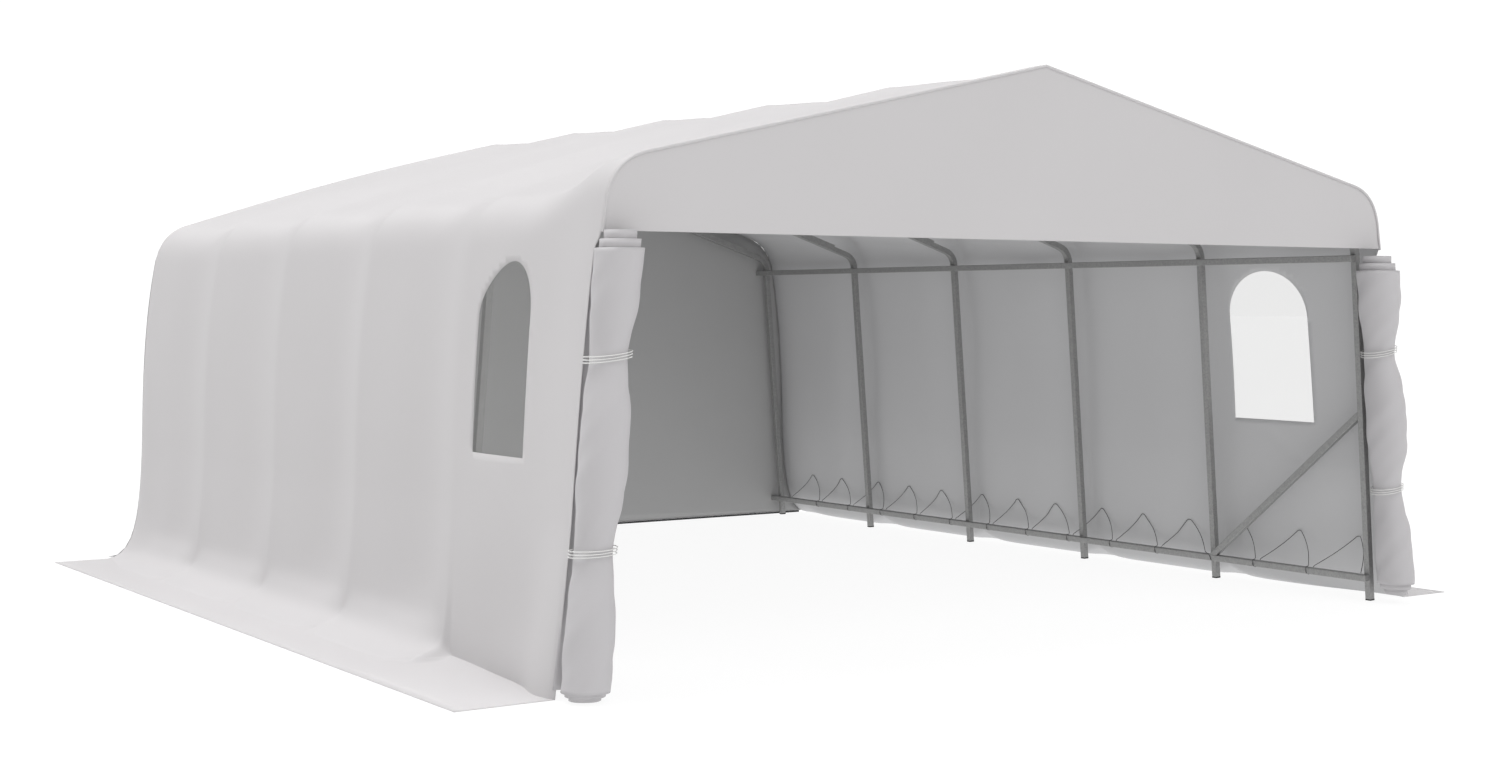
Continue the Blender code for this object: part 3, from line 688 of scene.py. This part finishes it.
def curve_at(points, parts):
    """Points of a polyline at parts of its length."""
    length = np.concatenate([[0.0], np.cumsum(np.linalg.norm(np.diff(points, axis=0), axis=1))])
    return np.stack([np.interp(parts * length[-1], length, axis) for axis in points.T], axis=-1)


def end_panel(along, side_parts, foot_z, across, up):
    """Flat end of the shelter as x and z on a grid, from the bottom (row 0) to the outline.

    The right half is a Coons patch: the blend of bottom and top lines, plus the blend of the
    middle and side lines, less the blend of their four corners. The left half mirrors it.
    """
    top_part, low_part = side_parts
    top = curve_at(np.stack(outline(along, np.linspace(0.0, top_part, 80)), axis=-1), across)
    side = curve_at(np.stack(outline(along, np.linspace(low_part, top_part, 60)), axis=-1), up)
    foot = np.stack([side[0, 0] * across, np.full(len(across), foot_z)], axis=-1)
    side[0, 1] = foot_z
    middle = np.stack([np.zeros(len(up)), mix(foot_z, RIDGE_Z, up)], axis=-1)
    u, v = across[None, :, None], up[:, None, None]
    corners = (1 - u) * ((1 - v) * foot[0] + v * top[0]) + u * ((1 - v) * foot[-1] + v * top[-1])
    half = (1 - v) * foot + v * top + (1 - u) * middle[:, None] + u * side[:, None] - corners
    mirrored = half[:, :0:-1] * np.array([-1.0, 1.0])
    return np.concatenate([mirrored, half], axis=1)


def panel_piece(name, flat, y, looks, stands_for, back=False):
    """Cloth from points in the plane of an end, with its relief in y; back turns it to face +Y."""
    points = np.stack([flat[..., 0], y, flat[..., 1]], axis=-1)
    faces, corner_row, corner_column = grid(*flat.shape[:2])
    uv = flat[corner_row, corner_column]
    if back:
        faces, uv = faces[:, ::-1], uv[:, ::-1]
    piece = make_piece(name, points, faces, looks, uv, slot="cover_fabric", stands_for=stands_for)
    return thicken(piece, CLOTH, inner_look=True)


def make_front_valance():
    """Gable cloth with a soft belly between its edges, and a doubled hem along the bottom.

    The relief is a product of sines across and up, plus slow slanting waves. The hem stands
    out by a cloth's thickness over the lowest 30 mm.
    """
    across, up = span((0.03, 3), (0.97, 44), (1.0, 3)), span((0.04, 5), (0.96, 22), (1.0, 4))
    along = np.array(-FRONT_OVERHANG)
    low = float(wall_part(along, VALANCE_BOTTOM_Z))
    flat = end_panel(along, (2.0, low), VALANCE_BOTTOM_Z, across, up)
    v = up[:, None]
    x, z = flat[..., 0], flat[..., 1]
    belly = 0.012 * np.sin(math.pi * v) * np.cos(x * math.pi / 5.4)
    wave = 0.0016 * np.sin(3.1 * x + 4.0 * z) + 0.001 * np.sin(7.3 * x - 2.0 * z + 1.0)
    hem = 0.0012 * (1 - ease((z - VALANCE_BOTTOM_Z - 0.026) / 0.006))
    y = FRONT_ARCH_Y - FRONT_OVERHANG - 0.0045 - belly - wave * np.sin(math.pi * v) - hem
    looks = [OUTER_CLOTH, INNER_CLOTH]
    piece = panel_piece("front_valance_cloth", flat, y, looks, ["front_valance"])


def make_rear_wall():
    """Closed rear end, nearly flat, with slow waves of a few millimetres.

    It lies 3.8 mm behind the cover's edge, clear of the frame's ends.
    """
    across, up = span((1.0, 36)), span((1.0, 30))
    along = np.array(REAR_EDGE)
    flat = end_panel(along, (2.0, 4.0), CLOTH_TOP_ON_GROUND + 0.012, across, up)
    x, z = flat[..., 0], flat[..., 1]
    inside = np.sin(math.pi * up[:, None]) * np.cos(x * math.pi / 5.95)
    wave = 0.0025 * np.sin(2.3 * x + 1.1 * z + 0.4) + 0.0015 * np.sin(5.1 * x - 2.6 * z)
    y = FRONT_ARCH_Y + REAR_EDGE + 0.0038 + inside * wave
    # The inner face is the darker copy of the cloth that paints the shade inside the rear wall
    looks = [OUTER_CLOTH, REAR_INNER_SHADED_CLOTH]
    piece = panel_piece("rear_wall_cloth", flat, y, looks, ["rear_wall"], back=True)


def make_rear_hem():
    """Dark woven webbing along the foot of the rear wall."""
    x = np.linspace(-2.88, 2.88, 120)
    sway = 0.0008 * np.sin(4.0 * x) + 0.0005 * np.sin(9.0 * x + 1.0)
    y = FRONT_ARCH_Y + REAR_EDGE - 0.001 + sway
    path = np.stack([x, y, np.full_like(x, 0.0085)], axis=-1)
    corners_mm = [(-2, -7), (2, -7), (3, -5), (3, 5), (2, 7), (-2, 7), (-3, 5), (-3, -5)]
    section = np.array(corners_mm) / 1000
    facts = {"slot": "dark_hem", "stands_for": ["rear_hem"]}
    swept_piece("rear_hem_webbing", [path], section, (0, 0, 1), [WEBBING], **facts)


def make_edge_welt():
    """Rounded welt of folded cloth that joins the valance to the roof along its whole edge."""
    along = np.array(-FRONT_OVERHANG)
    low = float(wall_part(along, VALANCE_BOTTOM_Z))
    edge = np.stack(outline(along, np.linspace(0.0, low, 200)), axis=-1)
    half = curve_at(edge, np.linspace(0, 1, 150))
    line = np.concatenate([half[:0:-1] * np.array([-1.0, 1.0]), half])
    y = np.full(len(line), FRONT_ARCH_Y - FRONT_OVERHANG - 0.0055)
    path = np.stack([line[:, 0], y, line[:, 1] - 0.0065], axis=-1)
    section = circle(0.0075, 12)
    swept_piece("edge_welt", [path], section, (0, 1, 0), [OUTER_CLOTH], slot="cover_fabric")


# Windows

FILM_THICK = 0.001
FILM_LAP = 0.003


def make_window(side):
    """Clear film welded into the cloth round the arched opening, 3 mm larger than it.

    Across runs from -1 to 1 and each column runs straight up from the sill to the arch. The
    area is 0.87 m times the width, because the arch takes its corners off.
    """
    lap = FILM_LAP
    s, t = np.meshgrid(np.sin(np.linspace(-0.5, 0.5, 25) * math.pi), np.linspace(0.0, 1.0, 30))
    z = mix(WINDOW_SILL - lap, window_top(side, s, lap), t)
    along = window_along(side, s, z, lap)
    points = cover_points(along, wall_part(along, z), depth=0.001)
    points[..., 0] *= side
    faces, corner_row, corner_column = grid(*s.shape)
    uv = np.stack([along, z], axis=-1)[corner_row, corner_column]
    if side < 0:
        faces, uv = faces[:, ::-1], uv[:, ::-1]
    name = SIDES[side]
    facts = {"slot": "clear_film", "stands_for": [f"window_{name}"]}
    piece = make_piece(f"window_film_{name}", points, faces, [FILM], uv, **facts)
    thicken(piece, FILM_THICK)


# Rolled doors

# Each roll: its axis at the floor, lean, lowest and highest place, radius and heights of its ties
ROLLS = {
    -1: {
        "foot_x": 2.731,
        "lean": 0.0915,
        "bottom": 0.045,
        "top": 1.998,
        "radius": 0.118,
        "ties": (0.658, 1.518),
    },
    1: {
        "foot_x": 2.728,
        "lean": 0.1180,
        "bottom": 0.115,
        "top": 1.947,
        "radius": 0.115,
        "ties": (0.672, 1.478),
    },
}

# How loose the cords are on a roll's inner and outer side
TIE_SLACK = {-1: (0.008, 0.024), 1: (0.004, 0.014)}

# How far a tie draws the radius in and pushes the axis outwards, and the radius's growth per metre
ROLL_WAIST = {-1: 0.027, 1: 0.035}
ROLL_SWAY = {-1: 0.0, 1: 0.018}
ROLL_GROWTH = {-1: 0.0, 1: 0.0100}

# Number of turns, share of the radius that each takes off, and height of the folds as its share
ROLL_TURNS = 5.0
ROLL_SHRINK = 0.165
FOLD_DEPTH = {-1: 0.045, 1: 0.055}

# How much longer each of the two inner turns is at the foot and at the top
LAYER_STEPS = {-1: (0.018, 0.040), 1: (0.032, 0.042)}

DOOR_CLOTH_THICK = 0.005


def tie_waist(side, z):
    """Bell-shaped weight of the cords at a height, 1 at each tie."""
    return sum(np.exp(-(((z - tie) / 0.19) ** 2)) for tie in ROLLS[side]["ties"])


def roll_radius(side, z):
    """Outer radius: radius + growth times height - waist times the weight of the ties."""
    roll = ROLLS[side]
    held = np.clip(z, roll["bottom"], roll["top"])
    return roll["radius"] + ROLL_GROWTH[side] * held - ROLL_WAIST[side] * tie_waist(side, held)


def roll_middle(side, z):
    """Axis of a roll, which leans like the leg, sways out at its ties and lies before the leg."""
    roll = ROLLS[side]
    x = side * (roll["foot_x"] - roll["lean"] * z + ROLL_SWAY[side] * tie_waist(side, z))
    return x, FRONT_ARCH_Y - TUBE / 2 - 0.003 - roll_radius(side, z)


def make_rolled_door(side):
    """Half of the front wall rolled up: a spiral whose inner turns stand out at both ends.

    A turn lies at the outer radius times 1 - 0.165 per turn inwards. Folds wind round the
    roll at 45 degrees, as rounded crests that rise to the right. Each of the first two inner
    turns is longer at both ends, and the change from one to the next lies at the back. The
    outer turn starts with a strip that hangs from the wall, 22 mm behind its front edge, and
    4 mm behind it at the foot.
    """
    roll = ROLLS[side]
    inward = np.linspace(0.0, ROLL_TURNS, int(ROLL_TURNS * 44) + 1)
    part = span((0.02, 2), (0.98, 92), (1.0, 2))
    whole = np.floor(inward)
    stair = np.minimum(whole + ease((inward - whole - 0.9) / 0.1), 2.0)
    foot_step, top_step = LAYER_STEPS[side]
    low, high = roll["bottom"] - foot_step * stair, roll["top"] + top_step * stair
    turn, t = np.meshgrid(inward, part)
    z = mix(low[None, :], high[None, :], t)
    start = math.radians(60)
    angle = start - 2 * math.pi * turn
    phase = side * angle - z / 0.115
    folds = 0.35 * np.sin(2 * phase + 0.8) ** 3
    folds = folds + 0.40 * np.sin(3 * phase + 2.0 + 0.8 * np.sin(3.0 * z))
    folds = folds + 0.25 * np.sin(5 * phase + z)
    radius = roll_radius(side, z) * (1 - ROLL_SHRINK * turn) * (1 + FOLD_DEPTH[side] * folds)
    x, y = roll_middle(side, z)
    points = np.stack([x + side * radius * np.cos(angle), y + radius * np.sin(angle), z], axis=-1)
    edge_along = mix(-0.026, -0.008, ease((z[:, 0] - 0.20) / 0.25))
    edge_x = side * (wall_inner_x(0.0, z[:, 0], side) - 0.003)
    edge = np.stack([edge_x, FRONT_ARCH_Y + edge_along, z[:, 0]], axis=-1)
    strip = mix(edge[:, None], points[:, :1], np.linspace(0.0, 1.0, 5)[None, :-1, None])
    points = np.concatenate([strip, points], axis=1)
    z = points[..., 2]
    steps = np.linalg.norm(np.diff(points, axis=1), axis=2).mean(axis=0)
    width = np.concatenate([[0.0], np.cumsum(steps)])
    faces, corner_row, corner_column = grid(*z.shape)
    uv = np.stack([width[corner_column], z[corner_row, corner_column]], axis=-1)
    if side > 0:
        faces, uv = faces[:, ::-1], uv[:, ::-1]
    name = SIDES[side]
    facts = {"slot": "cover_fabric", "stands_for": [f"rolled_door_{name}"]}
    # The door cloth is the darker copy that paints shade on the roll
    piece = make_piece(f"rolled_door_cloth_{name}", points, faces, [DOOR_SHADED_CLOTH], uv, **facts)
    thicken(piece, DOOR_CLOTH_THICK)


# Cords

TIE_RADIUS = 0.0023
TIE_PITCH = 0.013
LACING_RADIUS = 0.0021
LOOPS = 14
LOOP_SPACING = 0.424


def round_off(path, times=2):
    """Corners cut off a path: each step keeps the quarter points of every stretch."""
    for _ in range(times):
        first, second = path[:-1], path[1:]
        cut = np.stack([0.75 * first + 0.25 * second, 0.25 * first + 0.75 * second], axis=1)
        path = np.concatenate([path[:1], cut.reshape(-1, 3), path[-1:]])
    return path


def make_tie(side, z, name, tilt):
    """Cord wound three times round a roll, a little loose at the sides, and closed behind it.

    Height is z + pitch times the turn, less half, + tilt times the cosine of the angle. The
    radius is the roll's, plus the cord's, plus the slack times the fourth power of the
    cosine. The slack is larger on the outer side, where the cord passes the wall's edge.
    """
    turn = np.linspace(0.0, 3.0, 145)
    angle = 2 * math.pi * turn + math.radians(80)
    inner_slack, outer_slack = TIE_SLACK[side]
    slack = mix(inner_slack, outer_slack, (1 + side * np.cos(angle)) / 2)
    slack = slack + 0.0015 * np.sin(2.1 * angle + z)
    height = z + TIE_PITCH * (turn - 1.5) + tilt * np.cos(angle) + 0.0008 * np.sin(1.7 * angle)
    x, y = roll_middle(side, height)
    radius = roll_radius(side, height) * 1.012 + 0.0035 + slack * np.cos(angle) ** 4
    ring = np.stack([x + radius * np.cos(angle), y + radius * np.sin(angle), height], axis=-1)
    path = np.concatenate([ring, ring[-1:] + (0.0, 0.006, -0.006), ring[:1] + (0.0, 0.006, 0.006)])
    label = f"{SIDES[side]}_{name}"
    paths, section = [round_off(path, 1)], circle(TIE_RADIUS, 8)
    facts = {"slot": "white_cord", "stands_for": [f"tie_{label}"]}
    swept_piece(f"tie_cord_{label}", paths, section, (0.02, 0.03, 1), [WHITE_CORD], **facts)


def wall_inner_x(along, z, side):
    """Inner face of the cover's flare or wall at a height."""
    part = np.linspace(2.0, 4.0, 160)
    inner = cover_points(np.full_like(part, along), part, CLOTH, side)[::-1]
    return np.interp(z, inner[:, 2], inner[:, 0])


def lacing_foot(peak, way):
    """Where a loop reaches the rail, before (-1) or behind (1) its peak and clear of the legs."""
    reach, clear = 0.195, 0.045
    foot = peak + way * reach
    leg = round(foot / BAY) * BAY
    return leg - way * clear if abs(leg - foot) < clear and 0 <= leg <= FRAME_LENGTH else foot


def rail_point(along, out, up):
    """Point beside the base rail, out and up in steps of the line that a cord takes round it."""
    lean = math.atan(LEG_LEAN)
    middle = leg_x(BASE_RAIL_Z) - (TUBE + 0.0006) * math.cos(lean)
    half = TUBE / 2 + 0.0032
    x = middle + half * (out * math.cos(lean) - up * math.sin(lean))
    z = BASE_RAIL_Z - TUBE * math.sin(lean) + half * (out * math.sin(lean) + up * math.cos(lean))
    return (x, along, z)


def make_lacing(side):
    """Rope laced between the base rail and the eyelets of the cover, fourteen round-topped loops.

    A loop's two legs run straight in height and length, and bow outwards by 28 mm times the
    sine of their part, but no further than 5 mm inside the cover. Between two loops the rope
    goes once round the rail.
    """
    route = []
    for loop in range(LOOPS):
        peak_y = LOOP_SPACING / 2 + LOOP_SPACING * loop
        feet = [lacing_foot(peak_y, way) for way in (-1, 1)]
        peak = np.array([wall_inner_x(peak_y, 0.352, side) - 0.004, peak_y, 0.364])
        for foot, parts in zip(feet, (np.linspace(0, 0.94, 14), np.linspace(0.94, 0, 14))):
            low = np.array(rail_point(foot, 1, 1))
            branch = low + (peak - low) * parts[:, None]
            branch[:, 0] += 0.028 * np.sin(math.pi * parts)
            free = [wall_inner_x(place, height, side) - 0.005 for place, height in branch[:, 1:]]
            branch[:, 0] = np.minimum(branch[:, 0], free)
            route.append(branch)
        if loop < LOOPS - 1:
            after = lacing_foot(peak_y + LOOP_SPACING, -1)
            lead = np.array([0.2, 0.45, 0.7]) * min(after - feet[1], 0.055)
            turns = zip(lead, ((1, -1), (-1, -1), (-1, 1)))
            route.append(np.array([rail_point(feet[1] + step, *place) for step, place in turns]))
    path = round_off(np.concatenate(route))
    path = path * np.array([side, 1.0, 1.0]) + np.array([0.0, FRONT_ARCH_Y, 0.0])
    name, section = SIDES[side], circle(LACING_RADIUS, 6)
    facts = {"slot": "grey_cord", "stands_for": [f"lacing_rope_{name}"]}
    swept_piece(f"lacing_cord_{name}", [path], section, (0.31, 0.2, 0.93), [GREY_CORD], **facts)


def make_all():
    """Every cloth, film and cord of the shelter."""
    make_cover()
    make_rear_hem()
    make_rear_wall()
    make_front_valance()
    make_edge_welt()
    for side, tilts in ((-1, (0.003, 0.011)), (1, (0.0145, 0.019))):
        make_window(side)
        make_rolled_door(side)
        make_tie(side, ROLLS[side]["ties"][0], "lower", tilts[0])
        make_tie(side, ROLLS[side]["ties"][1], "upper", tilts[1])
        make_lacing(side)


make_all()


# Steel frame

STEEL_NODES = ("leg_", "roof_bow_", "side_rail_", "base_rail_", "ridge_purlin", "brace_")


def rounded_square(width, radius):
    """Section of a square tube with rounded corners, four points to a corner."""
    turn = np.linspace(0, math.pi / 2, 4)
    corner = width / 2 - radius + radius * np.stack([np.cos(turn), np.sin(turn)], axis=1)
    quarter = [(1, 0, 0, 1), (0, -1, 1, 0), (-1, 0, 0, -1), (0, 1, -1, 0)]
    return np.concatenate([corner @ np.array(turned).reshape(2, 2).T for turned in quarter])


def dress_frame():
    """Galvanised finish and rounded corners on every tube that comes from the frame."""
    for name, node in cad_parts.items():
        if not name.startswith(STEEL_NODES):
            continue
        node.data.materials.clear()
        node.data.materials.append(STEEL)
        weld = node.modifiers.new("Joined corners", "WELD")
        weld.merge_threshold = 0.0001
        corners = node.modifiers.new("Rounded corners", "BEVEL")
        corners.width = 0.003
        corners.segments = 2
        corners.limit_method = "ANGLE"
        corners.angle_limit = math.radians(40)


def make_foot_plugs():
    """Black moulded plugs that close the feet of the legs."""
    paths = []
    for side in SIDES:
        for number in range(ARCHES):
            y = FRONT_ARCH_Y + number * BAY
            paths.append([(side * leg_x(z), y, z) for z in (0.0018, 0.0055, 0.0095)])
    section = rounded_square(TUBE + 0.0016, 0.004)
    swept_piece("foot_plugs", paths, section, (0, 1, 0), [PLUG], sharp=30)


dress_frame()
make_foot_plugs()


# Stage, light and camera


def make_stage():
    """Plain pale floor that glows a little, so that the underside isn't left in the dark."""
    data = bpy.data.meshes.new("floor")
    reach, level = 300.0, -0.001
    corners = [(x * reach, y * reach, level) for x, y in ((-1, -1), (1, -1), (1, 1), (-1, 1))]
    data.from_pydata(corners, [], [(0, 1, 2, 3)])
    values = {"Base_Color": (0.10, 0.10, 0.10, 1.0), "Roughness": 0.9}
    glow = {"Emission_Color": (1, 1, 1, 1), "Emission_Strength": 0.90}
    look, *_ = start_material("pale_floor", **values, **glow)
    data.materials.append(look)
    floor = bpy.data.objects.new("floor", data)
    bpy.context.collection.objects.link(floor)


def make_light():
    """Studio dome, white at the horizon and dim above it, with two very soft keys.

    The first key stands high on the left and a little behind, and the second in front.
    """
    world = bpy.data.worlds.new("studio")
    world.use_nodes = True
    tree = world.node_tree
    tree.nodes.clear()
    place = add_node(tree, "ShaderNodeTexCoord")
    split = add_node(tree, "ShaderNodeSeparateXYZ", {"Vector": place.outputs["Generated"]})
    ramp = add_node(tree, "ShaderNodeValToRGB", {"Fac": split.outputs["Z"]})
    stops = ((0.0, 1.0), (0.155, 1.0), (0.17, 0.094), (0.55, 0.094), (0.75, 0.84), (1.0, 0.84))
    for position, _ in stops[1:-1]:
        ramp.color_ramp.elements.new(position)
    for stop, (position, level) in zip(ramp.color_ramp.elements, stops):
        stop.position = position
        stop.color = (level, level, level, 1.0)
    glow = {"Color": ramp.outputs["Color"], "Strength": 1.07}
    back = add_node(tree, "ShaderNodeBackground", glow)
    add_node(tree, "ShaderNodeOutputWorld", {"Surface": back.outputs["Background"]})
    bpy.context.scene.world = world
    keys = (("left_key", 122, 60, 2.1), ("front_key", -80, 45, 1.05))
    for name, heading, height, strength in keys:
        data = bpy.data.lights.new(name, "SUN")
        data.energy = strength
        data.angle = math.radians(50)
        lamp = bpy.data.objects.new(name, data)
        bpy.context.collection.objects.link(lamp)
        lamp.rotation_euler = (0.0, math.radians(90 - height), math.radians(heading))


def make_camera():
    """Camera at the photograph's place, height and angle."""
    data = bpy.data.cameras.new("camera")
    data.sensor_width = 36.0
    data.lens = 49.06
    data.clip_end = 1000.0
    camera = bpy.data.objects.new("camera", data)
    bpy.context.collection.objects.link(camera)
    leftwards, before, height = 7.1173, 7.9571, 1.7360
    down, right = 2.2893, 33.9231
    camera.location = (-leftwards, FRONT_ARCH_Y - before, height)
    camera.rotation_euler = (math.radians(90 - down), 0.0, math.radians(-right))
    bpy.context.scene.camera = camera
    bpy.context.scene.view_settings.view_transform = "Standard"


make_stage()
make_light()
make_camera()
